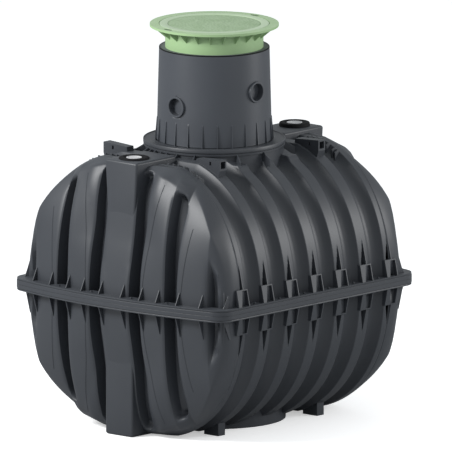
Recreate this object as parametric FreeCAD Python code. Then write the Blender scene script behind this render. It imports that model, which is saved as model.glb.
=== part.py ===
import FreeCAD
import Part
import math
import os
from FreeCAD import Vector, Placement, Rotation

# Underground septic tank of two moulded half shells, with a swivelling dome,
# a telescopic access shaft and a lift-off lid. Millimetres, +Z up, origin on
# the floor under the middle of the tank, long axis of the barrel along X.

# Barrel: hoop ribs in planes across X; the section is a squarish oval whose
# top is flattened under the neck
axis_z = 966.0
half_width = 950.0
half_height = 1000.0
oval_power = 2.3
platform_h = 952.0
hoop_pitch = 258.0
hoops_each_side = 3
hoop_w = 100.0
valley_depth = 62.0
wall = 10.0
quarter_steps = 11

# Dished ends with upright ribs, flatter beside the flange than at the top
end_x = 1059.0
flat_power = 2.0
flat_root = 4.0
round_power = 1.5
round_root = 1.5
ribs = ((0.0, 137.0), (237.0, 456.0), (560.0, 812.0), (888.0, 938.0))
groove_depths = (108.0, 108.0, 44.0)
groove_end = 0.955
plain_ring = 16.0
slice_steps = 8

# Flange band that joins the half shells
flange_half_x = 1136.0
flange_half_y = 995.0
flange_bulge = 94.0
corner_r = 133.0
flange_h = 43.0
seal_gap = 8.0
seal_w = 22.0
seal_inset = 8.0

# Gussets on the flange: thin ones at the ends, a wide one at each corner
gusset_up = 88.0
gusset_down = 142.0
gusset_t = 8.0
gusset_out = 44.0
gusset_inset = 35.0
corner_gusset_y = 849.0
corner_gusset_t = 56.0
box_w = 112.0
box_h = 118.0
box_y = 984.0
box_lean = 26.0
plate_top_w = 56.0
plate_foot_w = 30.0
bridge_t = 8.0
fin_rise = 140.0
fin_reach = 46.0

# Shoulders where the middle hoops run level to the neck
shoulder_y = 513.0
shoulder_y_in = 400.0
shoulder_h = 918.0

# Pads that carry the pipe sockets on top and the end feet below
pad_x_out = 978.0
pad_x_in = 560.0
pad_half_y = 150.0
pad_top_z = 1951.0
foot_x_out = 1000.0
foot_x_in = 500.0
foot_half_y = 127.0
socket_x = 838.0
pipe_r = 55.0
ring_r = 108.0
ring_h = 12.0
bore_clear = 3.0

# Block feet under the second hoop from each rim
block_w = 70.0
block_y_in = 400.0
block_y_out = 534.0

# Blind neck that forms the round base of the lower shell
base_r = 500.0
base_wall = 12.0
base_floor = 8.0
base_h = 160.0

# Neck and collar
neck_r = 485.0
neck_wall = 12.0
collar_r = 498.0
collar_top = 1978.0
collar_t = 18.0
lip_up = 6.0
lip_w = 8.0
socket_r = 424.0
socket_bore = 412.0
socket_bottom = 1850.0

# Lifting lugs
lug_y_in = 320.0
lug_y_out = 547.0
lug_t = 70.0
lug_top = 1962.0
lug_wall = 12.0
lug_hole_depth = 100.0
lug_hole_h = 50.0
lug_slot_y = 97.0
lug_slot_w = 17.0
lug_slot_h = 26.0

# Dome
dome_base_r = 404.0
dome_top_r = 381.0
dome_top = 2634.0
dome_wall = 8.0
dome_gap = 0.4
spigot_r = 396.0
spigot_bottom = 1870.0
fin_count = 24
fin_depth = 12.0
fin_h = 175.0
fin_t = 6.0
lip_r = 387.0
lip_h = 36.0
port_r = 75.0
port_bore_r = 62.0
port_proud = 12.0

# Telescopic shaft and lid
shaft_r = 344.0
shaft_wall = 8.0
shaft_bottom = 2250.0
cover_top = 2797.0
cover_r = 452.0
cover_t = 16.0
gusset_drop = 84.0
lid_r = 385.0
lid_t = 22.0
lid_gap = 3.0
seat_t = 10.0
fit = 0.3

rim_x = hoops_each_side * hoop_pitch

parts = "parts"
os.makedirs(parts, exist_ok=True)


def save(shape, name):
    shape = shape.removeSplitter() if shape.ShapeType != "Solid" else shape
    shape.exportStep(parts + "/" + name + ".step")
    print(name, len(shape.Solids), round(shape.Volume / 1e6, 3), shape.isValid())


def rad(a):
    return math.radians(a)


def box(x0, x1, y0, y1, z0, z1):
    return Part.makeBox(x1 - x0, y1 - y0, z1 - z0, Vector(x0, y0, z0))


def ring(r_out, r_in, z0, z1):
    outer = Part.makeCylinder(r_out, z1 - z0, Vector(0, 0, z0))
    return outer.cut(Part.makeCylinder(r_in, z1 - z0, Vector(0, 0, z0)))


def revolve_z(points):
    pts = [Vector(r, 0, z) for r, z in points]
    face = Part.Face(Part.makePolygon(pts + pts[:1]))
    return face.revolve(Vector(0, 0, 0), Vector(0, 0, 1), 360)


def around_z(shape, angles):
    return [shape.rotated(Vector(0, 0, 0), Vector(0, 0, 1), a) for a in angles]


def mirror(shape, normal, z=0.0):
    return shape.mirror(Vector(0, 0, z), normal)


def solid_of(shape):
    return max(shape.Solids, key=lambda s: s.Volume) if shape.Solids else shape


# Skin between closed rings of points: flat panels, or two where four twist
def panel(a, b, c, d):
    n = (b - a).cross(c - a)
    if (d - a).Length < 1e-6 or (c - b).Length < 1e-6:
        corners = [[a, b, c]] if (d - a).Length < 1e-6 else [[a, b, d]]
    elif abs((d - a).dot(n)) < 1e-7 * max(n.Length, 1.0):
        corners = [[a, b, c, d]]
    else:
        corners = [[a, b, c], [a, c, d]]
    return [Part.Face(Part.makePolygon(q + q[:1])) for q in corners]


def skin(rings):
    faces = []
    for one, two in zip(rings, rings[1:]):
        for i in range(len(one)):
            j = (i + 1) % len(one)
            faces += panel(one[i], one[j], two[j], two[i])
    for cap in (rings[0], rings[-1]):
        faces.append(Part.Face(Part.makePolygon(cap + cap[:1])))
    shell = Part.makeShell(faces)
    solid = Part.makeSolid(shell)
    if solid.Volume < 0:
        solid.reverse()
    return solid


# Height of the oval section above the axis at distance y from the middle plane
def crest(y, inset):
    f = min(abs(y) / (half_width - inset), 1.0)
    z = (half_height - inset) * (1.0 - f ** oval_power) ** (1.0 / oval_power)
    return min(z, platform_h - inset)


def crest_y(z):
    f = 1.0 - (z / half_height) ** oval_power
    return half_width * f ** (1.0 / oval_power)


# Upper half of the section at one station, as a ring of points
def section(x, inset):
    right = []
    for i in range(quarter_steps):
        t = rad(90.0 * i / quarter_steps)
        y = (half_width - inset) * math.cos(t) ** (2.0 / oval_power)
        right.append((y, crest(y, inset)))
    outline = right + [(0.0, platform_h - inset)] + [(-y, z) for y, z in reversed(right)]
    return [Vector(x, y, axis_z + z) for y, z in outline]


# Stations of the corrugation along X, as (x, inset), from one rim to the other
def stations(extra):
    out = []
    last = hoops_each_side
    gap = hoop_pitch - hoop_w
    for i in range(-last, last + 1):
        c = i * hoop_pitch
        left = c if i == -last else c - hoop_w / 2 + extra
        right = c if i == last else c + hoop_w / 2 - extra
        out.append((left, extra))
        out.append((right, extra))
        if i < last:
            a = c + hoop_w / 2
            out.append((a + gap * 0.16 - extra * 0.8, valley_depth * 0.72 + extra))
            out.append((a + gap * 0.5, valley_depth + extra))
            out.append((a + gap * 0.84 + extra * 0.8, valley_depth * 0.72 + extra))
    return out


def barrel_half(extra):
    return skin([section(*s) for s in stations(extra)])


# Reach of the dished end along X at a point (y, z) of its face, z from the axis
def head_x(y, z, inset=0.0):
    fy = abs(y) / (half_width - inset)
    fz = abs(z) / (half_height - inset)
    f = min((fy ** oval_power + fz ** oval_power) ** (1.0 / oval_power), 1.0)
    steep = min(1.2 * z * z / max(y * y + z * z, 1.0), 1.0)
    power = flat_power + (round_power - flat_power) * steep
    root = flat_root + (round_root - flat_root) * steep
    return -rim_x - (end_x - rim_x - inset) * (1.0 - f ** power) ** (1.0 / root)


# Upright slice of the end at y; a groove slice runs out on to the rim
def end_slice(y, inset, depth):
    z_top = crest(y, inset)
    reach = crest(y, inset + depth) * groove_end if depth else z_top
    steps = slice_steps - 1 if depth else slice_steps
    pts = []
    for i in range(steps + 1):
        z = reach * math.sin(rad(90.0 * i / steps))
        pts.append((head_x(y, z, inset + depth), z))
    if depth:
        pts.append((-rim_x - plain_ring, z_top - 1.0))
    else:
        pts[-1] = (-rim_x - 1.0, z_top)
    pts.append((-rim_x, z_top))
    pts.append((-rim_x, 0.0))
    return [Vector(x, y, axis_z + z) for x, z in pts]


def end_band(y0, y1, inset, depth):
    out = []
    mid = (y0 + y1) / 2
    for s in (-1, 1):
        ys = sorted((s * y0, s * mid, s * y1))
        out.append(skin([end_slice(y, inset, depth) for y in ys]))
    return out


# Half of the end as a solid body; the inset one is the hollow inside it
def head_body(inset):
    bands = []
    for i, depth in enumerate(groove_depths):
        a, b = ribs[i]
        bands += end_band(a + inset if a else 0.0, b - inset, inset, 0.0)
        last = i == len(groove_depths) - 1
        c = ribs[i + 1][0] + (0.0 if last else inset)
        bands += end_band(b - inset, c, inset, depth)
    if not inset:
        bands += end_band(ribs[-1][0], ribs[-1][1], inset, 0.0)
    return bands[0].multiFuse(bands[1:]).removeSplitter()


barrel_out = barrel_half(0.0)
barrel_in = barrel_half(wall)
head_out = head_body(0.0)
head_in = head_body(wall)

# Upper and lower barrel shells
barrel_shell = barrel_out.cut(barrel_in)
hatch = Part.makeCylinder(socket_r, 600, Vector(0, 0, socket_bottom - 100))
shoulders = []
for i in (-1, 0, 1):
    x0 = i * hoop_pitch - hoop_w / 2
    block = box(x0, x0 + hoop_w, shoulder_y_in, shoulder_y, axis_z + 800, axis_z + shoulder_h)
    block = block.cut([barrel_out, Part.makeCylinder(neck_r, 2100)])
    block = max(block.Solids, key=lambda s: s.BoundBox.YMax)
    shoulders += [block, mirror(block, Vector(0, 1, 0))]
upper_barrel = barrel_shell.cut(hatch).fuse(shoulders)
lower_barrel = mirror(barrel_shell, Vector(0, 0, 1), axis_z)
save(upper_barrel, "upper_barrel_shell")
save(lower_barrel, "lower_barrel_shell")

# Ends: the upper halves carry the socket pads, the lower ones the end feet
def end_shell(x_out, x_in, half_y, top):
    pad = box(-x_out, -x_in, -half_y, half_y, axis_z, top)
    hollow = box(-x_out + wall, -x_in - wall, -half_y + wall, half_y - wall, axis_z, top - wall)
    outer = head_out.fuse(pad.cut(barrel_out))
    return solid_of(outer.cut(head_in.fuse(hollow.cut(barrel_out))))


bore = Part.makeCylinder(pipe_r + bore_clear, 400, Vector(-socket_x, 0, pad_top_z - 200))
upper_end = end_shell(pad_x_out, pad_x_in, pad_half_y, pad_top_z).cut(bore)
lower_end = mirror(end_shell(foot_x_out, foot_x_in, foot_half_y, 2 * axis_z),
                   Vector(0, 0, 1), axis_z)
save(upper_end, "inlet_end_upper")
save(mirror(upper_end, Vector(1, 0, 0)), "outlet_end_upper")
save(lower_end, "inlet_end_lower")
save(mirror(lower_end, Vector(1, 0, 0)), "outlet_end_lower")


# Flange outline from above: straight sides, bulged ends and round corners
def plan_face(margin, z):
    r = corner_r + margin
    side = flange_half_y + margin
    cy = flange_half_y - corner_r
    cx = flange_half_x - flange_bulge - corner_r
    tilt = math.atan(2.0 * flange_bulge / cy)
    half = (tilt + math.pi / 2) / 2
    edges = []
    for sx in (1, -1):
        low = Vector(sx * (cx + r * math.cos(tilt)), cy + r * math.sin(tilt), z)
        for sy in (1, -1):
            a = Vector(low.x, sy * low.y, z)
            m = Vector(sx * (cx + r * math.cos(half)), sy * (cy + r * math.sin(half)), z)
            edges.append(Part.Arc(a, m, Vector(sx * cx, sy * side, z)).toShape())
        nose = Vector(sx * (flange_half_x + margin), 0, z)
        edges.append(Part.Arc(Vector(low.x, -low.y, z), nose, low).toShape())
    for sy in (1, -1):
        edges.append(Part.makeLine(Vector(-cx, sy * side, z), Vector(cx, sy * side, z)))
    return Part.Face(Part.Wire(Part.__sortEdges__(edges)))


body_up = barrel_out.fuse([head_out, mirror(head_out, Vector(1, 0, 0))])
flange = plan_face(0.0, axis_z + seal_gap / 2).extrude(Vector(0, 0, flange_h - seal_gap / 2))
band = solid_of(flange.cut(body_up))
pads = [box(-pad_x_out, -pad_x_in, -pad_half_y, pad_half_y, axis_z, pad_top_z),
        box(pad_x_in, pad_x_out, -pad_half_y, pad_half_y, axis_z, pad_top_z)]
save(solid_of(band.cut(pads)), "upper_flange")
save(mirror(band, Vector(0, 0, 1), axis_z), "lower_flange")
seal = plan_face(-seal_inset, axis_z - seal_gap / 2).extrude(Vector(0, 0, seal_gap))
seal_hole = plan_face(-seal_inset - seal_w, axis_z - seal_gap / 2).extrude(Vector(0, 0, seal_gap))
save(seal.cut(seal_hole), "flange_seal")


# Thin gussets that brace the flange from both edges of each end rib
def end_gussets(height):
    z0 = axis_z + flange_h
    out = []
    places = [(corner_gusset_y, corner_gusset_t)]
    for y0, y1 in ribs[:-1]:
        for y in ((y0 + gusset_inset, y1 - gusset_inset) if y0 else (y1 - gusset_inset,)):
            places.append((y, gusset_t))
    for y, t in places:
        x = head_x(y, 0.0)
        tip = head_x(y, height + flange_h)
        pts = [Vector(x + 60, y, z0), Vector(x - gusset_out, y, z0),
               Vector(tip - 3, y, z0 + height), Vector(x + 60, y, z0 + height)]
        g = Part.Face(Part.makePolygon(pts + pts[:1])).extrude(Vector(0, t, 0))
        g.translate(Vector(0, -t / 2, 0))
        g = solid_of(g.cut([head_out, head_out.translated(Vector(-fit, 0, 0))]))
        pair = [g, mirror(g, Vector(0, 1, 0))]
        out += pair + [mirror(p, Vector(1, 0, 0)) for p in pair]
    return Part.makeCompound(out)


save(end_gussets(gusset_up), "end_gussets_upper")
save(mirror(end_gussets(gusset_down), Vector(0, 0, 1), axis_z), "end_gussets_lower")

# Box gussets on the hoops: leaning box, front plate that narrows to its foot,
# open recess beside it, thin far edge and a pointed fin above
z0 = axis_z + flange_h
side_boxes = []
for i in range(-hoops_each_side, hoops_each_side + 1):
    x0 = i * hoop_pitch - box_w / 2
    x1 = x0 + box_w
    back = -half_width + 80
    pts = [Vector(x0, back, z0), Vector(x0, -box_y, z0), Vector(x0, -box_y + box_lean, z0 + box_h),
           Vector(x0, back, z0 + box_h)]
    body = Part.Face(Part.makePolygon(pts + pts[:1])).extrude(Vector(box_w, 0, 0))
    z1 = z0 + box_h - bridge_t
    pts = [Vector(x0 + plate_foot_w, -box_y - 1, z0), Vector(x1 - gusset_t, -box_y - 1, z0),
           Vector(x1 - gusset_t, -box_y - 1, z1), Vector(x0 + plate_top_w, -box_y - 1, z1)]
    recess = Part.Face(Part.makePolygon(pts + pts[:1])).extrude(Vector(0, box_y + 1 + back, 0))
    xf = x0 + plate_top_w + gusset_t
    pts = [Vector(xf, back, z0 + box_h), Vector(xf, -box_y + box_lean, z0 + box_h),
           Vector(xf, -crest_y(box_h + flange_h + fin_rise) - 2, z0 + box_h + fin_rise),
           Vector(xf, back + fin_reach, z0 + box_h + fin_rise)]
    fin = Part.Face(Part.makePolygon(pts + pts[:1])).extrude(Vector(gusset_t, 0, 0))
    b = body.cut(recess).fuse(fin).cut(body_up)
    side_boxes.append(solid_of(b))
side_boxes += [mirror(b, Vector(0, 1, 0)) for b in side_boxes]
upper_side_boxes = Part.makeCompound(side_boxes)
save(upper_side_boxes, "side_gussets_upper")
save(mirror(upper_side_boxes, Vector(0, 0, 1), axis_z), "side_gussets_lower")

# Block feet under the second hoop from each rim, on both sides
barrel_down = mirror(barrel_out, Vector(0, 0, 1), axis_z)
block_x = (hoops_each_side - 1) * hoop_pitch
feet = []
for sx in (-1, 1):
    for sy in (-1, 1):
        x0 = sx * block_x - block_w / 2
        y0, y1 = sorted((sy * block_y_in, sy * block_y_out))
        f = box(x0, x0 + block_w, y0, y1, 0, 300).cut(barrel_down)
        feet.append(solid_of(f))
save(Part.makeCompound(feet), "hoop_feet")

# Round base: the lower shell's own neck, closed by a floor
pan = Part.makeCylinder(base_r, base_h)
pan = pan.cut(Part.makeCylinder(base_r - base_wall, base_h, Vector(0, 0, base_floor)))
save(solid_of(pan.cut(barrel_down)), "base_ring")

# Neck with its collar on the upper shell
neck = revolve_z([(neck_r - neck_wall, 1700), (neck_r, 1700), (neck_r, collar_top - collar_t),
                  (collar_r, collar_top - collar_t), (collar_r, collar_top + lip_up),
                  (collar_r - lip_w, collar_top + lip_up), (collar_r - lip_w, collar_top),
                  (socket_bore, collar_top), (socket_bore, socket_bottom),
                  (socket_r, socket_bottom), (socket_r, collar_top - collar_t),
                  (neck_r - neck_wall, collar_top - collar_t)])
neck = solid_of(neck.cut(barrel_out))
save(neck, "neck_collar")

# Rubber seal in the neck
seal_z = collar_top - 60
save(ring(socket_bore, spigot_r + fit, seal_z, seal_z + 30), "neck_seal")

# Lifting lugs on the second hoop from each rim
for nx, sx in (("inlet", -1), ("outlet", 1)):
    for ny, sy in (("front", -1), ("back", 1)):
        x0 = sx * block_x - lug_t / 2
        root_z = axis_z + crest(lug_y_out, 0.0)
        pts = [Vector(x0, lug_y_in, axis_z + platform_h - 20), Vector(x0, lug_y_in + 8, lug_top - 12),
               Vector(x0, lug_y_out, lug_top), Vector(x0, lug_y_out, lug_top - 76),
               Vector(x0, lug_y_out - 25, root_z - 20), Vector(x0, lug_y_out - 110, root_z - 20)]
        lug = Part.Face(Part.makePolygon(pts + pts[:1])).extrude(Vector(lug_t, 0, 0))
        hole_top = lug_top - lug_wall
        hole = box(x0 + lug_wall, x0 + lug_t - lug_wall, lug_y_out - lug_hole_depth, lug_y_out + 1,
                   hole_top - lug_hole_h, hole_top)
        slot_y = lug_y_out - lug_slot_y
        slot = box(x0 - 1, x0 + lug_t + 1, slot_y, slot_y + lug_slot_w,
                   hole_top - 6 - lug_slot_h, hole_top - 6)
        lug = lug.cut([hole, slot])
        if sy < 0:
            lug = mirror(lug, Vector(0, 1, 0))
        save(solid_of(lug.cut(barrel_out)), "lifting_lug_" + nx + "_" + ny)

# Pipe sockets: rubber ring and blank cap on each pad
for name, sx in (("inlet", -1), ("outlet", 1)):
    c = Vector(sx * socket_x, 0, pad_top_z)
    r = Part.makeCylinder(ring_r, ring_h, c).cut(Part.makeCylinder(pipe_r + fit, ring_h, c))
    save(r, name + "_seal_ring")
    cap = Part.makeCylinder(pipe_r, 80, c - Vector(0, 0, 70))
    save(cap, name + "_cap")

# Dome
base_z = collar_top + dome_gap
dome = revolve_z([(spigot_r - dome_wall, spigot_bottom), (spigot_r, spigot_bottom),
                  (spigot_r, base_z), (dome_base_r, base_z), (dome_top_r, dome_top - lip_h),
                  (lip_r, dome_top - lip_h), (lip_r, dome_top),
                  (dome_top_r - dome_wall, dome_top), (dome_top_r - dome_wall, dome_top - lip_h),
                  (spigot_r - dome_wall, base_z + 40)])
save(dome, "tank_dome")


def dome_r(z):
    f = (z - base_z) / (dome_top - lip_h - base_z)
    return dome_base_r + (dome_top_r - dome_base_r) * f


z_top = base_z + fin_h
pts = [Vector(dome_r(base_z) - 4, 0, base_z), Vector(dome_r(base_z) + fin_depth, 0, base_z),
       Vector(dome_r(z_top - 20) + 5, 0, z_top - 20), Vector(dome_r(z_top) - 4, 0, z_top)]
fin = Part.Face(Part.makePolygon(pts + pts[:1])).extrude(Vector(0, fin_t, 0))
fin.translate(Vector(0, -fin_t / 2, 0))
fin = solid_of(fin.cut(dome))
step = 360.0 / fin_count
save(Part.makeCompound(around_z(fin, [i * step for i in range(fin_count)])), "dome_fins")

# Blind round ports on the dome
for name, ang, z in (("dome_port_inlet", 180, 2254.0), ("dome_port_front", 270, 2355.0),
                     ("dome_port_outlet", 0, 2254.0)):
    r0 = dome_r(z)
    ringp = Part.makeCylinder(port_r, 60, Vector(r0 - 40, 0, z), Vector(1, 0, 0))
    ringp = ringp.cut(Part.makeCylinder(port_bore_r, 60, Vector(r0 + 2, 0, z), Vector(1, 0, 0)))
    ringp = ringp.common(box(0, r0 + port_proud, -200, 200, z - 200, z + 200))
    ringp = solid_of(ringp.cut(solid_of(revolve_z([(0, spigot_bottom), (spigot_r, spigot_bottom),
                                                   (spigot_r, base_z), (dome_base_r, base_z),
                                                   (dome_top_r, dome_top - lip_h),
                                                   (0, dome_top - lip_h)]))))
    save(ringp.rotated(Vector(0, 0, 0), Vector(0, 0, 1), ang), name)

# Rubber seal between dome and shaft
tele_seal = ring(dome_top_r - dome_wall, shaft_r + fit, dome_top - 30, dome_top - 2)
save(tele_seal, "shaft_seal")

# Telescopic shaft
seat_z = cover_top - lid_t - seat_t
shaft = revolve_z([(shaft_r - shaft_wall, shaft_bottom), (shaft_r, shaft_bottom),
                   (shaft_r, seat_z - 1), (lid_r + lid_gap + 8, seat_z - 1),
                   (lid_r + lid_gap + 8, cover_top - cover_t), (cover_r, cover_top - cover_t),
                   (cover_r, cover_top), (lid_r + lid_gap, cover_top),
                   (lid_r + lid_gap, seat_z + seat_t), (shaft_r - shaft_wall, seat_z + seat_t)])
save(shaft, "telescopic_shaft")
g_top = cover_top - cover_t
pts = [Vector(shaft_r - 5, 0, g_top), Vector(cover_r - 10, 0, g_top),
       Vector(cover_r - 10, 0, g_top - 10), Vector(shaft_r + 4, 0, g_top - gusset_drop),
       Vector(shaft_r - 5, 0, g_top - gusset_drop)]
g = Part.Face(Part.makePolygon(pts + pts[:1])).extrude(Vector(0, fin_t, 0))
g.translate(Vector(0, -fin_t / 2, 0))
g = solid_of(g.cut(shaft))
save(Part.makeCompound(around_z(g, [(i + 0.5) * step for i in range(fin_count)])), "shaft_gussets")

# Lid
lid = Part.makeCylinder(lid_r, lid_t, Vector(0, 0, cover_top - lid_t))
save(lid, "lid")
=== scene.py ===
import bpy
import math
from mathutils import Matrix, Vector


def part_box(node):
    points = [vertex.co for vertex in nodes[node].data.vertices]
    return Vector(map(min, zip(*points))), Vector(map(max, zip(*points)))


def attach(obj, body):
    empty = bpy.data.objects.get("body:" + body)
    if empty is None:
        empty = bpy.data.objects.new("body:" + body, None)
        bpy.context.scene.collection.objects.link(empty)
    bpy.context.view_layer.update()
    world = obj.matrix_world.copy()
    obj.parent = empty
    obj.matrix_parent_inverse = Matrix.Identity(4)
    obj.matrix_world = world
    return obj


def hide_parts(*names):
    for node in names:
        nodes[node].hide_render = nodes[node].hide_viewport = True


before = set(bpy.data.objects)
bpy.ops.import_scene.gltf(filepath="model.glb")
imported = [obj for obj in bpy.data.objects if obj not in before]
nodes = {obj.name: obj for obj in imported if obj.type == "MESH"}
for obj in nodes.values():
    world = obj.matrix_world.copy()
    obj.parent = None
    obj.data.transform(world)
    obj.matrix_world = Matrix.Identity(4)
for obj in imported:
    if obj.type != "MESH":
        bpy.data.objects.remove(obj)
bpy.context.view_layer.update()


# Barrel of the tank: two half shells of dark grey polypropylene, injection
# moulded with hoop ribs. The moulding has a faint grain and a satin gloss, and
# faces that look up are painted lighter in patches.
axis_z = (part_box("upper_flange")[0].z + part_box("lower_flange")[1].z) / 2
rim_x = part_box("upper_barrel_shell")[1].x
half_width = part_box("upper_barrel_shell")[1].y
platform_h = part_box("upper_barrel_shell")[1].z - axis_z
half_height = 1.000
oval_power = 2.3
hoop_pitch = rim_x / 3
hoop_half = 0.050
hoop_edge = 0.006
hoop_bevel = 0.002
valley_depth = 0.062
valley_power = 2.6
skin_wall = 0.008
hatch_r = 0.440


class Sock:
    def __init__(self, tree, socket=None):
        self.tree = tree
        self.socket = socket

    def node(self, kind, settings=None, inputs=None, output=0):
        made = self.tree.nodes.new(kind)
        for name, value in (settings or {}).items():
            setattr(made, name, value)
        for name, value in (inputs or {}).items():
            if isinstance(value, Sock):
                self.tree.links.new(value.socket, made.inputs[name])
            else:
                made.inputs[name].default_value = value
        return Sock(self.tree, made.outputs[output])

    def maths(self, operation, *values):
        return self.node("ShaderNodeMath", {"operation": operation}, dict(enumerate(values)))

    def __add__(self, other):
        return self.maths("ADD", self, other)

    def __radd__(self, other):
        return self.maths("ADD", other, self)

    def __sub__(self, other):
        return self.maths("SUBTRACT", self, other)

    def __rsub__(self, other):
        return self.maths("SUBTRACT", other, self)

    def __mul__(self, other):
        return self.maths("MULTIPLY", self, other)

    def __rmul__(self, other):
        return self.maths("MULTIPLY", other, self)

    def clamp(self):
        return self.maths("MINIMUM", self.maths("MAXIMUM", self, 0.0), 1.0)

    def into(self, shader, name):
        self.tree.links.new(self.socket, shader.inputs[name])


def moulded(name, low, high, upward_colour, gloss, grain_scale, grain):
    mat = bpy.data.materials.new(name)
    mat.use_nodes = True
    shader = mat.node_tree.nodes["Principled BSDF"]
    root = Sock(mat.node_tree)
    place = root.node("ShaderNodeTexCoord", output="Object")
    cloud = root.node("ShaderNodeTexNoise", inputs={"Vector": place, "Scale": 2.6, "Detail": 4.0})
    fine = root.node("ShaderNodeTexNoise", inputs={"Vector": place, "Scale": grain_scale,
                                                   "Detail": 2.0})
    patch = root.node("ShaderNodeTexNoise", inputs={"Vector": place, "Scale": 9.0, "Detail": 5.0})
    normal = root.node("ShaderNodeNewGeometry", output="Normal")
    upward = root.node("ShaderNodeSeparateXYZ", inputs={"Vector": normal}, output="Z")
    # Faces that look up are painted lighter in patches, towards the given colour.
    upward_patches = ((upward - 0.75) * 3.0).clamp() * patch * 0.6
    tone = root.node("ShaderNodeMix", {"data_type": "RGBA"},
                     {0: cloud, 6: (*low, 1.0), 7: (*high, 1.0)}, 2)
    upward_lightened = root.node("ShaderNodeMix", {"data_type": "RGBA"},
                      {0: upward_patches, 6: tone, 7: (*upward_colour, 1.0)}, 2)
    upward_lightened.into(shader, "Base Color")
    (cloud * 0.10 + fine * 0.06 + upward_patches * 0.3 + gloss).into(shader, "Roughness")
    root.node("ShaderNodeBump", inputs={"Height": fine, "Strength": grain,
                                        "Distance": 0.0005}).into(shader, "Normal")
    return mat


tank_plastic = moulded("tank_polypropylene", (0.030, 0.0335, 0.0400), (0.039, 0.0430, 0.0505),
                       (0.085, 0.092, 0.104), 0.37, 420.0, 0.25)
for name, node in nodes.items():
    node.data.materials.clear()
    node.data.materials.append(tank_plastic)


def finished(name, verts, faces, mat, sharp, body, *stands_for):
    mesh = bpy.data.meshes.new(name)
    mesh.from_pydata(verts, [], faces)
    mesh.validate()
    for face in mesh.polygons:
        face.use_smooth = True
    mesh.set_sharp_from_angle(angle=math.radians(sharp))
    mesh.materials.append(mat)
    piece = bpy.data.objects.new(name, mesh)
    bpy.context.scene.collection.objects.link(piece)
    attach(piece, body)
    if stands_for:
        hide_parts(*stands_for)
    return piece


def thicken(piece, depth):
    wall = piece.modifiers.new("wall", "SOLIDIFY")
    wall.thickness = depth
    wall.offset = -1.0
    wall.use_even_offset = False


def crest(y, inset):
    f = min(abs(y) / (half_width - inset), 1.0)
    z = (half_height - inset) * (1.0 - f ** oval_power) ** (1.0 / oval_power)
    return min(z, platform_h - inset)


def grid_faces(rows, columns, turned):
    faces = []
    for i in range(rows - 1):
        for j in range(columns - 1):
            a = i * columns + j
            quad = (a, a + 1, a + columns + 1, a + columns)
            faces.append(quad[::-1] if turned else quad)
    return faces


def hoop_inset(off):
    edge = max(off - hoop_half + hoop_edge, 0.0) / hoop_edge
    f = max((off - hoop_half) / (hoop_pitch / 2 - hoop_half), 0.0)
    valley = 1.0 - (1.0 - f) ** valley_power
    return hoop_bevel * min(edge, 1.0) ** 2 + (valley_depth - hoop_bevel) * valley


# Beside each fin the crest is hollowed to a point, and where the middle hoops
# near the neck they run level on a shoulder.
notch_low = 0.160
notch_high = 0.330
notch_depth = 0.030
shoulder_y = 0.513
shoulder_h = 0.918
shoulder_round = 0.020
shoulder_half = 0.052
shoulder_end = 0.35
notch_end = 0.12
notch_side = 0.7
notch_tip = 0.008
notch_wide = 0.038
notch_slope = 0.003
notch_wall = 0.0005


def crest_y(y, z, side_x):
    f = (notch_high - z) / (notch_high - notch_low)
    if z < notch_low - notch_end or f <= 0.0 or abs(y) < notch_side:
        return y
    left = notch_tip - notch_wide * min(f, 1.0)
    wall = (notch_tip + notch_wall - side_x) / notch_wall
    inner = min((side_x - left) / notch_slope, wall, 1.0)
    return y - math.copysign(notch_depth * min(f, 1.0) * max(inner, 0.0), y)


def shoulder(y, z, side_x, middle):
    over = shoulder_y - abs(y)
    off = abs(side_x)
    if not middle or over < -shoulder_round or off > shoulder_half or abs(y) < shoulder_end:
        return z
    edge = min((shoulder_half - off) / hoop_edge, 1.0)
    f = smooth((over + shoulder_round) / (2 * shoulder_round))
    return z + max(shoulder_h - z, 0.0) * f * edge


def smooth(f):
    f = min(max(f, 0.0), 1.0)
    return f * f * (3.0 - 2.0 * f)


half_period = (0.0, 0.022, 0.038, 0.044, 0.047, 0.050, 0.0515, 0.054, 0.059, 0.067, 0.077,
               0.089, 0.103, 0.117, hoop_pitch / 2)
notch_period = (-0.033, -0.030, -0.027, -0.018, -0.012, -0.006, 0.004, 0.008, 0.0085)
hoop_stations = []
for i in range(-3, 4):
    left = [(i * hoop_pitch - off, -off, i) for off in half_period] if i > -3 else []
    right_side = [(i * hoop_pitch + off, off, i) for off in half_period] if i < 3 else []
    inner = [(i * hoop_pitch + off, off, i) for off in notch_period
             if (off > 0 and i < 3) or (off < 0 and i > -3)]
    hoop_stations += sorted(set(left + right_side + inner))
section_steps = 84
for name, sz in (("upper_barrel_shell", 1), ("lower_barrel_shell", -1)):
    verts = []
    for x, off, i in hoop_stations:
        inset = hoop_inset(abs(off))
        for k in range(2 * section_steps + 1):
            t = math.pi * k / (2 * section_steps)
            y = (half_width - inset) * abs(math.cos(t)) ** (2.0 / oval_power)
            y = math.copysign(y, math.cos(t))
            z = crest(y, inset)
            z = shoulder(y, z, off, sz > 0 and abs(i) < 2)
            verts.append((x, crest_y(y, z, off), axis_z + sz * z))
    faces = grid_faces(len(hoop_stations), 2 * section_steps + 1, sz < 0)
    if sz > 0:
        faces = [f for f in faces
                 if min(math.hypot(verts[v][0], verts[v][1]) for v in f) > hatch_r
                 or verts[f[0]][2] < axis_z + 0.5]
    barrel = finished(name + "_skin", verts, faces, tank_plastic, 38.0, "tank", name)
    thicken(barrel, skin_wall)


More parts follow.
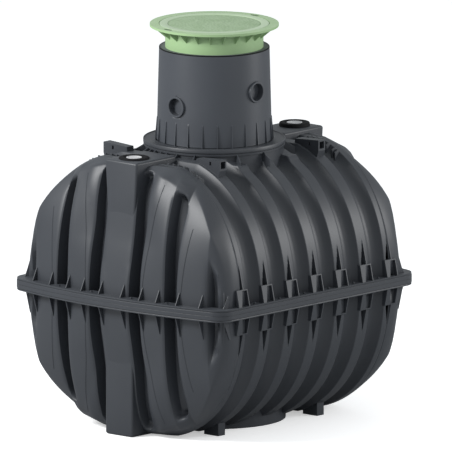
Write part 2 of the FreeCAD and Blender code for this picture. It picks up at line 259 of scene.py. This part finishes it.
# Ends of the tank: dished and stiffened by upright ribs with flat grooves in
# between, of the same moulding as the barrel. Each groove runs out in a round
# top below the rim, and each rib steps down to the next one.
end_x = -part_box("inlet_end_upper")[0].x
flat_power, round_power = 2.0, 1.5
flat_root, round_root = 4.0, 1.5
steep_share = 1.2
grooves = ((0.137, 0.237, 0.108), (0.456, 0.560, 0.108), (0.806, 0.915, 0.070))
chamfer_w = 0.018
chamfer_d = 0.011
chamfer_power = 1.5
groove_wall = 0.014
groove_top = 0.945
groove_round = 0.035
groove_run_out = 0.065
swell_h = 0.045
swell_more = 0.026
swell_more_y = 0.22
swell_more_run = 0.12
swell_y = 0.56
swell_run_y = 0.32
swell_z = 0.40
swell_run_z = 0.45
swell_rim = 0.985
swell_rim_run = 0.05
rib_slants = (-0.10, 0.66)
slant_z = 0.15
slant_run_z = 0.45
slant_edge = 0.032


def spread(y, z, inset):
    fy = abs(y) / (half_width - inset)
    fz = abs(z) / (half_height - inset)
    return min((fy ** oval_power + fz ** oval_power) ** (1.0 / oval_power), 1.0)


def terraced(y, z, f):
    rise = smooth((abs(z) - slant_z) / slant_run_z) * smooth((1.0 - f) / slant_edge)
    for (_, start, _), (edge, stop, _), slant in zip(grooves, grooves[1:], rib_slants):
        if start < abs(y) < stop:
            level = start + slant * (min(abs(y), edge) - start)
            level += (stop - level) * max(abs(y) - edge, 0.0) / (stop - edge)
            return abs(y) + (level - abs(y)) * rise
    return y


def head_x(y, z, inset):
    f = spread(y, z, inset)
    raised = spread(terraced(y, z, f), z, inset)
    steep = min(steep_share * z * z / max(y * y + z * z, 1e-6), 1.0)
    power = flat_power + (round_power - flat_power) * steep
    root = flat_root + (round_root - flat_root) * steep
    return rim_x + (end_x - rim_x - inset) * (1.0 - raised ** power) ** (1.0 / root), f


def swell(y, z, f):
    side = smooth((swell_y - abs(y)) / swell_run_y)
    rise = smooth((z - swell_z) / swell_run_z)
    height = swell_h + swell_more * smooth((abs(y) - swell_more_y) / swell_more_run)
    return height * side * rise * smooth((swell_rim - f) / swell_rim_run)


def groove_at(y):
    for start, stop, depth in grooves:
        inner = min(abs(y) - start, stop - abs(y))
        if inner >= 0.0:
            f = min(inner / groove_wall, 1.0)
            across = (abs(y) - start) / (stop - start) * 2.0 - 1.0
            return chamfer_d + (depth - chamfer_d) * f, across
        if inner > -chamfer_w:
            return chamfer_d * (1.0 + inner / chamfer_w) ** chamfer_power, 1.0
    return 0.0, 1.0


station_gap = 0.024
rib_stations = [0.0]
edges = []
for start, stop, depth in grooves:
    for at, sign in ((start, 1), (stop, -1)):
        steps = (-chamfer_w, -0.6 * chamfer_w, -0.3 * chamfer_w, -0.001, 0.002,
                 0.5 * groove_wall, groove_wall, 1.3 * groove_wall)
        edges += [at + sign * step for step in steps]
edges = sorted(edges) + [half_width * 0.992, half_width - 0.0005]
for edge in edges:
    last = rib_stations[-1]
    parts = max(int((edge - last) / station_gap), 1)
    rib_stations += [last + (edge - last) * (k + 1) / parts for k in range(parts)]
rib_stations = [-y for y in reversed(rib_stations[1:])] + rib_stations
rise_steps = 84
for end, sx in (("inlet", -1), ("outlet", 1)):
    for half, sz in (("upper", 1), ("lower", -1)):
        verts = []
        for y in rib_stations:
            depth, across = groove_at(y)
            for k in range(rise_steps + 1):
                z = crest(y, 0.0) * math.sin(math.pi / 2 * k / rise_steps)
                f = head_x(y, z, 0.0)[1]
                stop = groove_top - groove_round * across * across
                fade = smooth((stop - f) / groove_run_out)
                x = min(head_x(y, z, depth * fade)[0] + swell(y, z, f), end_x)
                if k == rise_steps:
                    x = rim_x
                verts.append((sx * x, y, axis_z + sz * z))
        faces = grid_faces(len(rib_stations), rise_steps + 1, sx * sz > 0)
        name = end + "_end_" + half
        dish = finished(name + "_skin", verts, faces, tank_plastic, 32.0, "tank", name)
        thicken(dish, skin_wall)


# Socket pads and end feet: square columns moulded on to the middle rib of each
# end, with soft corners. The upper ones spread a little upwards and carry the
# pipe sockets, the lower ones stand on the ground.
pad_out, pad_in, pad_half = 0.978, 0.562, 0.108
foot_out, foot_in, foot_half = 1.000, 0.500, 0.127
pad_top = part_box("inlet_end_upper")[1].z
pad_root = 0.30
pad_spread = 0.042
corner_round = 0.016
corner_steps = 4


def column(name, sx, x_out, x_in, half, z_end, z_root, taper):
    lift = 1.0 if z_end > z_root else -1.0
    levels = [(z_root, 0.0)]
    levels += [(z_end - lift * corner_round * (1.0 - math.sin(math.pi / 2 * k / corner_steps)),
                corner_round * (1.0 - math.cos(math.pi / 2 * k / corner_steps)))
               for k in range(corner_steps + 1)]
    verts = []
    for z, pull in levels:
        f = (z - z_root) / (z_end - z_root)
        x1 = x_out - pull
        x0 = x_in + pull
        y1 = half - pull - taper * f
        r = corner_round
        for cx, cy, turn in ((x1 - r, y1 - r, 0), (x0 + r, y1 - r, 1), (x0 + r, -y1 + r, 2),
                             (x1 - r, -y1 + r, 3)):
            for k in range(corner_steps + 1):
                a = math.pi / 2 * (turn + k / corner_steps)
                verts.append((sx * (cx + r * math.cos(a)), cy + r * math.sin(a), z))
    ring = 4 * (corner_steps + 1)
    faces = []
    for i in range(len(levels) - 1):
        for j in range(ring):
            a, b = i * ring + j, i * ring + (j + 1) % ring
            faces.append((a, b, b + ring, a + ring))
    faces.append(tuple(range(ring))[::-1])
    faces.append(tuple(range(len(verts) - ring, len(verts))))
    if sx * lift < 0:
        faces = [f[::-1] for f in faces]
    finished(name, verts, faces, tank_plastic, 40.0, "tank")


for end, sx in (("inlet", -1), ("outlet", 1)):
    column(end + "_socket_pad", sx, pad_out, pad_in, pad_half, pad_top, axis_z + pad_root,
           -pad_spread)
    column(end + "_end_foot", sx, foot_out, foot_in, foot_half, 0.0, axis_z - pad_root, 0.0)


# Flange band: the rims of both half shells, clamped face to face on a rubber
# ring. Each rim has a thin lip outside a shallow groove, and small pegs stand
# on it between the ribs.
band_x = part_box("upper_flange")[1].x
band_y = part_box("upper_flange")[1].y
band_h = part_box("upper_flange")[1].z - axis_z
band_bulge = 0.094
band_corner = 0.133
band_depth = 0.115
seam = 0.0006
band_profile = ((band_depth, seam), (0.001, seam), (0.0, 0.002), (0.0, 0.026), (0.0015, 0.028),
                (0.006, 0.0285), (0.006, 0.032), (0.0035, 0.0325), (0.0025, 0.034),
                (0.0025, band_h - 0.002), (0.0045, band_h), (band_depth, band_h))


def band_outline():
    cy = band_y - band_corner
    cx = band_x - band_bulge - band_corner
    tilt = math.atan(2.0 * band_bulge / cy)
    out = []
    for k in range(13):
        y = cy * k / 12
        slope = math.atan(2.0 * band_bulge * y / (cy * cy))
        x = cx + band_bulge * (1.0 - (y / cy) ** 2)
        out.append((x, y, slope))
    for k in range(1, 13):
        out.append((cx, cy, tilt + (math.pi / 2 - tilt) * k / 12))
    points = []
    for x, y, a in out:
        nx, ny = math.cos(a), math.sin(a)
        points.append((x + band_corner * nx, y + band_corner * ny, nx, ny))
    quarter = points + [(cx * (1 - k / 8), band_y, 0.0, 1.0) for k in range(1, 9)]
    upper_half = quarter + [(-x, y, -nx, ny) for x, y, nx, ny in reversed(quarter[:-1])]
    return upper_half + [(x, -y, nx, -ny) for x, y, nx, ny in reversed(upper_half[1:-1])]


def sweep(name, outline, profile, mat, body, sharp, *stands_for):
    verts = [(x - nx * o, y - ny * o, z) for x, y, nx, ny in outline for o, z in profile]
    n, m = len(outline), len(profile)
    faces = [(i * m + j, ((i + 1) % n) * m + j, ((i + 1) % n) * m + (j + 1) % m,
              i * m + (j + 1) % m) for i in range(n) for j in range(m)]
    return finished(name, verts, faces, mat, sharp, body, *stands_for)


outline = band_outline()
upper_profile = [(o, axis_z + z) for o, z in band_profile]
lower_profile = [(o, axis_z - z) for o, z in reversed(band_profile)]
sweep("upper_flange_band", outline, upper_profile, tank_plastic, "tank", 35.0, "upper_flange")
sweep("lower_flange_band", outline, lower_profile, tank_plastic, "tank", 35.0, "lower_flange")


# Rib creases: a fine raised line on each end rib, where two faces of the mould
# meet. It leans outwards as it climbs from the flange.
creases = ((0.262, 0.098, 0.85), (0.600, 0.055, 0.58))
crease_power = 1.5
crease_w = 0.008
crease_h = 0.0035
crease_root = 0.006
crease_steps = 24


def rib_face(y, z):
    x, f = head_x(y, z, 0.0)
    return min(x + swell(y, z, f), end_x - crease_h)


for end, sx in (("inlet", -1), ("outlet", 1)):
    verts = []
    faces = []
    for start, lean, top in creases:
        for sy, sz in ((-1, -1), (-1, 1), (1, -1), (1, 1)):
            first = len(verts)
            turned = sx * sy * sz < 0
            for k in range(crease_steps + 1):
                z = band_h + (top - band_h) * k / crease_steps
                y = start + lean * (z / top) ** crease_power
                inner, outer = y - crease_w / 2, y + crease_w / 2
                ring = ((rib_face(inner, z) - 0.001, inner), (rib_face(y, z) + crease_h, y),
                        (rib_face(outer, z) - 0.001, outer),
                        (rib_face(y, z) - crease_root, y))
                verts += [(sx * x, sy * across, axis_z + sz * z) for x, across in ring]
            rows = [(first + 4 * k, j, (j + 1) % 4) for k in range(crease_steps) for j in range(4)]
            quads = [(a + i, a + j, a + 4 + j, a + 4 + i) for a, i, j in rows]
            last = first + 4 * crease_steps
            quads += [(first + 3, first + 2, first + 1, first), (last, last + 1, last + 2, last + 3)]
            faces += [q[::-1] for q in quads] if turned else quads
    finished(end + "_rib_creases", verts, faces, tank_plastic, 20.0, "tank")


# Pegs: small moulded locating studs on both flanges, one in each end groove and
# one between the hoops.
peg_r = 0.009
peg_h = 0.012
peg_reach = 0.94
peg_out = 0.040
peg_y = 0.962


def soften(piece, width, limit=40.0):
    edge = piece.modifiers.new("edge", "BEVEL")
    edge.width = width
    edge.segments = 2
    edge.limit_method = "ANGLE"
    edge.angle_limit = math.radians(limit)
    edge.use_clamp_overlap = True


def slabs(name, plates, mat, body, width):
    verts = []
    faces = []
    for points, across in plates:
        first = len(verts)
        n = len(points)
        flat = [Vector(q) for q in points]
        push = Vector(across)
        normal = Vector((0.0, 0.0, 0.0))
        for k in range(n):
            normal += flat[k].cross(flat[(k + 1) % n])
        if normal.dot(push) < 0.0:
            flat = flat[::-1]
        verts += [tuple(q - push / 2) for q in flat] + [tuple(q + push / 2) for q in flat]
        faces.append(tuple(range(first, first + n))[::-1])
        faces.append(tuple(range(first + n, first + 2 * n)))
        for k in range(n):
            m = (k + 1) % n
            faces.append((first + k, first + m, first + n + m, first + n + k))
    piece = finished(name, verts, faces, mat, 30.0, body)
    if width:
        soften(piece, width)
    return piece


def round_points(x, y, z, r, count):
    return [(x + r * math.cos(2 * math.pi * k / count), y + r * math.sin(2 * math.pi * k / count), z)
            for k in range(count)]


peg_places = []
for start, stop, depth in grooves[:2]:
    mid = (start + stop) / 2
    peg_x = rim_x + peg_reach * (head_x(mid, 0.0, 0.0)[0] - rim_x) + peg_out
    peg_places += [(sx * peg_x, sy * mid) for sx in (-1, 1) for sy in (-1, 1)]
for i in range(-3, 3):
    peg_places += [((i + 0.5) * hoop_pitch, sy * peg_y) for sy in (-1, 1)]
for side, sz in (("upper", 1), ("lower", -1)):
    level = axis_z + sz * (band_h + peg_h / 2 - 0.001)
    slabs(side + "_flange_pegs", [(round_points(x, y, level, peg_r, 12), (0, 0, peg_h))
                                  for x, y in peg_places], tank_plastic, "tank", 0.002)


# Gussets, feet, lugs and base: plates and blocks moulded with the shells. Their
# edges are slightly rounded, as moulded edges are. The gussets of the ends are
# thin, and one stands across each corner of the flange.
for name in ("side_gussets_upper", "side_gussets_lower", "hoop_feet", "base_ring",
             "lifting_lug_inlet_front", "lifting_lug_inlet_back", "lifting_lug_outlet_front",
             "lifting_lug_outlet_back"):
    soften(nodes[name], 0.002)
gusset_y = (0.102, 0.272, 0.421, 0.595, 0.780, 0.932)
gusset_t = 0.008
gusset_foot = 0.044
gusset_tip = 0.004
gusset_root = 0.05
corner_at = 0.862
corner_foot = 0.105
corner_tip = 0.072
corner_more = 0.03
for side, sz, height in (("upper", 1, 0.088), ("lower", -1, 0.142)):
    plates = []
    low, high = axis_z + sz * band_h, axis_z + sz * (band_h + height)
    for sx in (-1, 1):
        for y in [sy * g for g in gusset_y for sy in (-1, 1)]:
            foot = head_x(y, 0.0, 0.0)[0]
            tip = head_x(y, band_h + height, 0.0)[0]
            root = foot - gusset_root
            plates.append(([(sx * root, y, low), (sx * (foot + gusset_foot), y, low),
                            (sx * (tip + gusset_tip), y, high), (sx * root, y, high)],
                           (0, gusset_t, 0)))
        for sy in (-1, 1):
            root = Vector((sx * corner_at, sy * corner_at, 0.0))
            away = Vector((sx, sy, 0.0)).normalized()
            foot, tip = root + away * corner_foot, root + away * corner_tip
            top = high + sz * corner_more
            plates.append(([(root.x, root.y, low), (foot.x, foot.y, low),
                            (tip.x, tip.y, top), (root.x, root.y, top)],
                           (-away.y * gusset_t, away.x * gusset_t, 0)))
    slabs("end_gusset_plates_" + side, plates, tank_plastic, "tank", 0.0015)
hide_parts("end_gussets_upper")
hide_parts("end_gussets_lower")


# Webs in the valley beside each rim hoop: short cross plates moulded in, which
# stiffen the shell beside the neck.
valley_web_y = (0.515, 0.489, 0.433, 0.372, 0.315, 0.268, 0.220)
valley_web_x = 0.045
web_t = 0.014
web_proud = 0.014
web_slope = 0.02
web_deep = 0.08
plates = []
for sx in (-1, 1):
    x1 = sx * (rim_x - hoop_half + 0.004)
    x0 = x1 - sx * valley_web_x
    for y in [sy * w for w in valley_web_y for sy in (-1, 1)]:
        top = axis_z + crest(y, 0.0) + web_proud
        plates.append(([(x1, y, top), (x0, y, top - web_slope), (x0, y, top - web_deep),
                        (x1, y, top - web_deep)], (0, web_t, 0)))
slabs("valley_webs", plates, tank_plastic, "tank", 0.002)


# Neck: round collar moulded on the upper shell. A groove runs under its rim,
# slanting webs brace it, and a short bar lies beside it.
neck_r = 0.485
collar_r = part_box("neck_collar")[1].x
collar_top = 1.978
bar_x, bar_low, bar_high, bar_t = 0.486, 1.893, 1.915, 0.016
bar_start, bar_stop = 0.094, 0.247
neck_web_t = 0.008
web_angles = (138.0, 154.0, 160.5, 167.2, 174.3, 180.8, 190.8, 206.0, 241.0, 266.0)


def lathe(name, profile, mat, sharp, body, place, *stands_for, count=128):
    verts = []
    faces = []
    n = len(profile)
    for i in range(count):
        a = 2 * math.pi * i / count
        verts += [tuple(place @ Vector((r * math.cos(a), r * math.sin(a), z))) for r, z in profile]
        for j in range(n):
            k = (j + 1) % n
            m = (i + 1) % count
            faces.append((i * n + j, m * n + j, m * n + k, i * n + k))
    return finished(name, verts, faces, mat, sharp, body, *stands_for)


upright = Matrix.Identity(4)
neck_profile = ((0.473, 1.780), (neck_r, 1.780), (neck_r, 1.934), (0.4885, 1.937), (0.4945, 1.937),
                (0.496, 1.9385), (0.496, 1.950), (0.4945, 1.9515), (0.4895, 1.952),
                (0.4895, 1.957), (0.4955, 1.9575), (collar_r, 1.960), (collar_r, 1.981),
                (0.4965, 1.984), (0.4925, 1.984), (0.491, 1.9825), (0.4895, 1.979),
                (0.4870, collar_top), (0.440, collar_top), (0.438, 1.9775), (0.412, 1.9775),
                (0.412, 1.850), (0.424, 1.850), (0.424, 1.950), (0.473, 1.925))
lathe("neck_and_collar", neck_profile, tank_plastic, 28.0, "tank", upright, "neck_collar")
plates = []
for turn in (0.0, 180.0):
    for angle in web_angles:
        a = math.radians(angle + turn)
        out = Vector((math.cos(a), math.sin(a), 0.0))
        side = Vector((-math.sin(a), math.cos(a), 0.0))
        corners = ((0.480, 1.950), (0.494, 1.948), (0.565, 1.908), (0.565, 1.850), (0.480, 1.850))
        plates.append(([tuple(out * r + Vector((0, 0, z))) for r, z in corners],
                       tuple(side * neck_web_t)))
    c = math.cos(math.radians(turn))
    corners = ((bar_start, bar_low), (bar_stop, bar_low), (bar_stop, bar_high),
               (bar_start, bar_high))
    plates.append(([(-bar_x * c, -y * c, z) for y, z in corners], (bar_t, 0, 0)))
slabs("neck_webs", plates, tank_plastic, "tank", 0.0015)


# Seals: black rubber rings, pressed into their seats.
rubber = moulded("seal_rubber", (0.004, 0.004, 0.005), (0.007, 0.007, 0.008),
                 (0.010, 0.010, 0.011), 0.60, 250.0, 0.2)
rubber.node_tree.nodes["Principled BSDF"].inputs["Specular IOR Level"].default_value = 0.15
for name in ("flange_seal", "neck_seal"):
    nodes[name].data.materials[0] = rubber


# Pipe sockets: lip rings of black rubber round pale grey blank caps of
# polypropylene. Rings and caps are pressed into the pads.
cap_plastic = moulded("cap_polypropylene", (0.44, 0.44, 0.45), (0.50, 0.50, 0.51),
                      (0.6, 0.6, 0.6), 0.40, 300.0, 0.2)
socket_x = (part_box("inlet_cap")[0].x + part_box("inlet_cap")[1].x) / -2
ring_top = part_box("inlet_seal_ring")[1].z
ring_profile = ((0.0555, pad_top), (0.0555, ring_top - 0.004), (0.062, ring_top - 0.006),
                (0.070, ring_top - 0.006), (0.076, ring_top - 0.001), (0.080, ring_top),
                (0.100, ring_top), (0.105, ring_top - 0.002), (0.108, ring_top - 0.006),
                (0.108, pad_top))
cap_profile = ((0.0005, pad_top - 0.070), (0.055, pad_top - 0.070), (0.055, ring_top - 0.004),
               (0.0535, ring_top - 0.002), (0.047, ring_top - 0.002), (0.045, ring_top - 0.005),
               (0.040, ring_top - 0.006), (0.0005, ring_top - 0.006))
for end, sx, lift in (("inlet", -1, 0.0), ("outlet", 1, 0.014)):
    place = Matrix.Translation((sx * socket_x, 0.0, 0.0))
    seat = [(r, z + lift if z > pad_top else z) for r, z in ring_profile]
    lathe(end + "_lip_ring", seat, rubber, 40.0, "tank", place, end + "_seal_ring", count=64)
    place = place @ Matrix.Translation((0.0, 0.0, lift))
    lathe(end + "_blank_cap", cap_profile, cap_plastic, 40.0, "tank", place, end + "_cap",
          count=64)


# Dome: smooth tapered riser of black polyethylene, turned in the neck. Slender
# fins stand round its foot, and a thin black bead covers its rim. Three ports
# are cut through its wall and closed by moulded cups.
dome_plastic = moulded("dome_polyethylene", (0.046, 0.0510, 0.0605), (0.055, 0.0605, 0.0705),
                       (0.08, 0.087, 0.098), 0.34, 380.0, 0.15)
dome_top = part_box("tank_dome")[1].z
dome_foot_r, dome_rim_r = 0.4035, 0.3868
dome_foot_z = 1.990
dome_rings = 22
ring_gap = 0.0295


def dome_r(z):
    f = (z - dome_foot_z) / (dome_top - dome_foot_z)
    return dome_foot_r + (dome_rim_r - dome_foot_r) * f


ring_heights = [dome_foot_z + k * ring_gap for k in range(dome_rings)]
dome_wall = [(dome_r(z), z) for z in ring_heights]
dome_profile = [(0.388, 1.870), (0.396, 1.870), (0.396, 1.9788), (0.4025, 1.979), (0.404, 1.981)]
dome_profile += dome_wall
dome_profile += [(0.3868, dome_top - 0.003), (0.3855, dome_top - 0.001), (0.383, dome_top),
                 (0.376, dome_top), (0.3735, dome_top - 0.0015), (0.373, dome_top - 0.034),
                 (0.388, 2.018)]
bead_profile = ((0.3825, dome_top - 0.002), (0.3868, dome_top - 0.008), (0.3875, dome_top - 0.006),
                (0.3868, dome_top - 0.001), (0.3845, dome_top + 0.001), (0.3820, dome_top))
port_places = ((180.0, 2.254), (270.0, 2.355), (0.0, 2.254))
port_names = ("inlet", "front", "outlet")
port_r = 0.060
cut_depth = 0.034


def facing(angle, z):
    a = math.radians(angle)
    out = Vector((math.cos(a), math.sin(a), 0.0))
    side = Vector((-math.sin(a), math.cos(a), 0.0))
    turn = Matrix((side, Vector((0, 0, 1)), out)).transposed().to_4x4()
    return Matrix.Translation(out * dome_r(z) + Vector((0, 0, z))) @ turn


riser = lathe("dome_riser", dome_profile, dome_plastic, 30.0, "dome", upright, "tank_dome")
lathe("dome_rim_bead", bead_profile, rubber, 40.0, "dome", upright)
port_profile = ((0.0005, -cut_depth), (port_r, -cut_depth), (port_r, -cut_depth + 0.004),
                (port_r + 0.0005, 0.009), (port_r + 0.003, 0.012), (0.072, 0.012),
                (0.0745, 0.010), (0.075, 0.006), (0.075, -0.010), (port_r + 0.003, -0.010),
                (port_r + 0.003, -cut_depth - 0.004), (0.0005, -cut_depth - 0.004))
cutter_profile = ((0.0005, -0.080), (port_r + 0.0015, -0.080), (port_r + 0.0015, 0.030),
                  (0.0005, 0.030))
for name, (angle, z) in zip(port_names, port_places):
    place = facing(angle, z)
    lathe("dome_port_cup_" + name, port_profile, dome_plastic, 30.0, "dome", place,
          "dome_port_" + name, count=64)
    cutter = lathe("port_cutter_" + name, cutter_profile, dome_plastic, 30.0, "dome", place,
                   count=64)
    cut = riser.modifiers.new("port", "BOOLEAN")
    cut.operation = "DIFFERENCE"
    cut.object = cutter
    cutter.hide_render = True
    cutter.hide_viewport = True
nodes["dome_fins"].data.materials[0] = dome_plastic
soften(nodes["dome_fins"], 0.0012)


# Rubber seal between dome and shaft: a wiper ring that lies in the rim. It is
# painted grey as a painted reflection of the white sky on its flat top.
# Grey colour of the wiper: painted reflection of the sky on its flat top.
wiper_painted_reflection = moulded("seal_rubber", (0.10, 0.11, 0.125), (0.13, 0.14, 0.155),
                       (0.2, 0.2, 0.21), 0.5, 250.0, 0.2)
nodes["shaft_seal"].data.materials[0] = wiper_painted_reflection


# Cover: telescopic shaft with a wide flange, of sage green polyethylene. The
# flange is grained, and slim gussets carry it from the shaft. Two finger slots
# are sunk in it; their floors are dark green sheets, painted shade.
def grained(name, low, high, pattern_scale, pattern):
    # Faces that look up are painted a pale green in patches.
    mat = moulded(name, low, high, (0.62, 0.72, 0.56), 0.46, 300.0, 0.25)
    shader = mat.node_tree.nodes["Principled BSDF"]
    root = Sock(mat.node_tree)
    place = root.node("ShaderNodeTexCoord", output="Object")
    cells = root.node("ShaderNodeTexVoronoi", inputs={"Vector": place, "Scale": pattern_scale})
    upward = root.node("ShaderNodeSeparateXYZ",
                       inputs={"Vector": root.node("ShaderNodeNewGeometry", output="Normal")},
                       output="Z")
    raised = upward.maths("GREATER_THAN", upward, 0.9) * cells
    root.node("ShaderNodeBump", inputs={"Height": raised, "Strength": pattern,
                                        "Distance": 0.004}).into(shader, "Normal")
    return mat


green_plastic = grained("cover_polyethylene", (0.285, 0.430, 0.215), (0.330, 0.480, 0.255),
                        70.0, 0.35)
# The tread field is painted a darker green than the cover.
disc_plastic = grained("lid_polyethylene", (0.215, 0.335, 0.165), (0.250, 0.375, 0.195),
                       45.0, 1.0)
for mat in (green_plastic, disc_plastic):
    mat.node_tree.nodes["Principled BSDF"].inputs["Specular IOR Level"].default_value = 0.35
nodes["telescopic_shaft"].data.materials[0] = green_plastic
soften(nodes["telescopic_shaft"], 0.002)
shaft_r = 0.344
cover_gussets = 24
cover_gusset_r = 0.428
cover_gusset_drop = 0.074
cover_gusset_t = 0.006
cover_gusset_lip = 0.006
cover_gusset_wall = 0.003
seat_wall = 0.008
seat_floor = 0.009
under_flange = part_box("shaft_gussets")[1].z
seat_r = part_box("lid")[1].x + seat_wall
under_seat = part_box("lid")[0].z - seat_floor
plates = []
for i in range(cover_gussets):
    a = 2 * math.pi * (i + 0.5) / cover_gussets
    out = Vector((math.cos(a), math.sin(a), 0.0))
    side = Vector((-math.sin(a), math.cos(a), 0.0))
    corners = ((seat_r, under_flange), (cover_gusset_r, under_flange),
               (cover_gusset_r, under_flange - cover_gusset_lip),
               (shaft_r + cover_gusset_wall, under_flange - cover_gusset_drop),
               (shaft_r - cover_gusset_wall, under_flange - cover_gusset_drop),
               (shaft_r - cover_gusset_wall, under_seat), (seat_r, under_seat))
    plates.append(([tuple(out * r + Vector((0, 0, z))) for r, z in corners],
                   tuple(side * cover_gusset_t)))
slabs("cover_gusset_plates", plates, green_plastic, "shaft", 0.0012)
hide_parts("shaft_gussets")
slot_places = (170.0, 358.0)
slot_half = 0.040
slot_wide = 0.019
slot_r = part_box("lid")[1].x + slot_wide + 0.006
slot_depth = 0.0025
flange_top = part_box("telescopic_shaft")[1].z
# Dark green for the slot floors: painted shade.
slot_shade_green = moulded("cover_polyethylene", (0.060, 0.100, 0.050), (0.075, 0.120, 0.062),
                     (0.1, 0.15, 0.09), 0.6, 300.0, 0.2)
for number, angle in enumerate(slot_places):
    points = []
    for k in range(20):
        t = 2 * math.pi * k / 20
        a = math.radians(angle) + (slot_half * math.cos(t)) / slot_r
        r = slot_r + slot_wide * math.sin(t)
        points.append((r * math.cos(a), r * math.sin(a), flange_top))
    cutter = slabs("slot_cutter_" + str(number + 1), [(points, (0, 0, 2 * slot_depth))],
                   green_plastic, "shaft", 0)
    cut = nodes["telescopic_shaft"].modifiers.new("slot", "BOOLEAN")
    cut.operation = "DIFFERENCE"
    cut.object = cutter
    cutter.hide_render = True
    cutter.hide_viewport = True
    # Slot floors: dark green sheets, painted shade in the shallow slots.
    floor_points = [(x, y, flange_top - slot_depth - 0.0015) for x, y, z in points]
    slabs("finger_slot_shade_" + str(number + 1), [(floor_points, (0, 0, 0.004))], slot_shade_green,
          "shaft", 0)


# Lid: round lift-off plate of the same green polyethylene, with a smooth rim
# and a sunk field of raised tread. It lies loose in its frame. The rim is
# painted a lighter green than the cover, and the tread a darker one.
lid_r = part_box("lid")[1].x
lid_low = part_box("lid")[0].z
lid_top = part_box("lid")[1].z
rim_profile = ((0.327, lid_low), (lid_r - 0.002, lid_low), (lid_r, lid_low + 0.002),
               (lid_r, lid_top - 0.003), (lid_r - 0.003, lid_top), (0.332, lid_top),
               (0.329, lid_top - 0.001), (0.327, lid_top - 0.004))
tread_profile = ((0.0005, lid_low + 0.001), (0.327, lid_low + 0.001), (0.327, lid_top - 0.006),
                 (0.325, lid_top - 0.0035), (0.0005, lid_top - 0.0035))
# The rim is painted a lighter green than the cover.
rim_plastic = moulded("cover_polyethylene", (0.400, 0.520, 0.340), (0.440, 0.560, 0.380),
                      (0.55, 0.66, 0.48), 0.34, 300.0, 0.1)
lathe("lid_rim", rim_profile, rim_plastic, 30.0, "lid", upright, "lid")
lathe("lid_tread", tread_profile, disc_plastic, 30.0, "lid", upright)


# Studio: pale floor, white surroundings, large soft lights and the camera.
floor_mesh = bpy.data.meshes.new("floor")
reach = 40.0
floor_mesh.from_pydata([(-reach, -reach, 0), (reach, -reach, 0), (reach, reach, 0),
                        (-reach, reach, 0)], [], [(0, 1, 2, 3)])
floor = bpy.data.objects.new("floor", floor_mesh)
bpy.context.scene.collection.objects.link(floor)
floor_mat = bpy.data.materials.new("floor_paint")
floor_mat.use_nodes = True
floor_shader = floor_mat.node_tree.nodes["Principled BSDF"]
floor_shader.inputs["Base Color"].default_value = (0.95, 0.95, 0.95, 1.0)
floor_shader.inputs["Emission Color"].default_value = (1.0, 1.0, 1.0, 1.0)
floor_shader.inputs["Emission Strength"].default_value = 0.45
floor_shader.inputs["Roughness"].default_value = 0.9
ground = Sock(floor_mat.node_tree)
seen = ground.node("ShaderNodeLightPath", output="Is Camera Ray")
dull = ground.node("ShaderNodeBsdfDiffuse", {}, {"Color": (0.50, 0.51, 0.52, 1.0)})
lit = Sock(floor_mat.node_tree, floor_shader.outputs[0])
surface = ground.node("ShaderNodeMixShader", {}, {0: seen, 1: dull, 2: lit})
surface.into(floor_mat.node_tree.nodes["Material Output"], "Surface")
floor_mesh.materials.append(floor_mat)

world = bpy.data.worlds.new("studio")
bpy.context.scene.world = world
world.use_nodes = True
sky = Sock(world.node_tree)
seen = sky.node("ShaderNodeLightPath", output="Is Camera Ray")
plain = sky.node("ShaderNodeBackground", {}, {"Color": (1.0, 1.0, 1.0, 1.0), "Strength": 1.0})
dimmed = sky.node("ShaderNodeBackground", {}, {"Color": (0.93, 0.97, 1.0, 1.0), "Strength": 0.60})
mixed = sky.node("ShaderNodeMixShader", {}, {0: seen, 1: dimmed, 2: plain})
mixed.into(world.node_tree.nodes["World Output"], "Surface")

azimuth = math.radians(-48.0)
elevation = math.radians(10.7)
pixels_per_metre = 143.0
photo_side = 452.0
axis_pixel_x = 214.3
floor_pixel_y = 416.0
right = Vector((math.cos(azimuth), math.sin(azimuth), 0.0))
back = Vector((math.sin(azimuth) * math.cos(elevation), -math.cos(azimuth) * math.cos(elevation),
               math.sin(elevation)))
up = back.cross(right)
look = (right * (photo_side / 2 - axis_pixel_x) + up * (floor_pixel_y - photo_side / 2))
look = look / pixels_per_metre
camera_data = bpy.data.cameras.new("camera")
camera_data.type = "ORTHO"
camera_data.ortho_scale = photo_side / pixels_per_metre
camera = bpy.data.objects.new("camera", camera_data)
bpy.context.scene.collection.objects.link(camera)
camera.matrix_world = Matrix((right, up, back)).transposed().to_4x4()
camera.location = look + back * 14.0
bpy.context.scene.camera = camera


def soft_light(name, side, height, depth, width, power):
    data = bpy.data.lights.new(name, "AREA")
    data.size = width
    data.energy = power
    lamp = bpy.data.objects.new(name, data)
    bpy.context.scene.collection.objects.link(lamp)
    aim = Vector((0.0, 0.0, 1.1))
    lamp.location = right * side + Vector((0, 0, height)) + back * depth
    lamp.rotation_euler = (lamp.location - aim).to_track_quat("Z", "Y").to_euler()


soft_light("key", -6.5, 5.0, 3.2, 2.6, 640.0)
soft_light("fill", 5.0, 3.5, 5.5, 2.5, 50.0)
soft_light("side", 8.0, 3.6, 0.0, 2.5, 240.0)
bpy.context.scene.view_settings.view_transform = "Standard"
